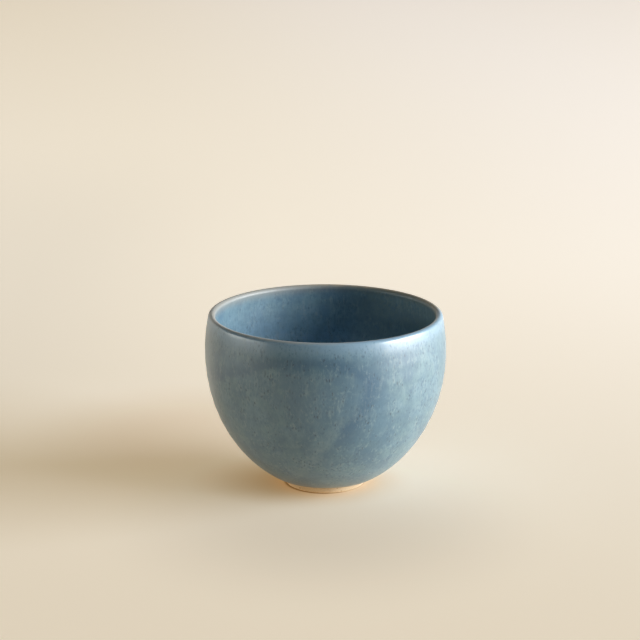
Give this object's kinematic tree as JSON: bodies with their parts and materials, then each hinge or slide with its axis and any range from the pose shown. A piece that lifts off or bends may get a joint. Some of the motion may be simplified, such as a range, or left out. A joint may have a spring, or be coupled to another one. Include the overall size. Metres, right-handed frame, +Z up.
{
  "type": "ceramic cup",
  "caption": "Round-bellied thrown stoneware cup without a handle, satin blue-grey glaze inside and out, on a low unglazed foot ring. Holds a hot drink.",
  "frame": {"origin": "centre of the foot ring's flat underside, on the surface that the cup stands on", "axes": "+Z up along the cup's axis of revolution; X and Y are equal"},
  "size_m": [0.09, 0.09, 0.066],
  "materials": {
    "bare_clay": "unglazed fired buff stoneware, matte and slightly gritty",
    "blue_grey_glaze": "satin blue-grey glaze with fine dark and pale specks, thin and brown along the lip"
  },
  "bodies": {
    "root": {"clay_body": "bare_clay", "foot_ring": "bare_clay", "outer_glaze": "blue_grey_glaze", "liner_glaze": "blue_grey_glaze"}
  },
  "joints": []
}
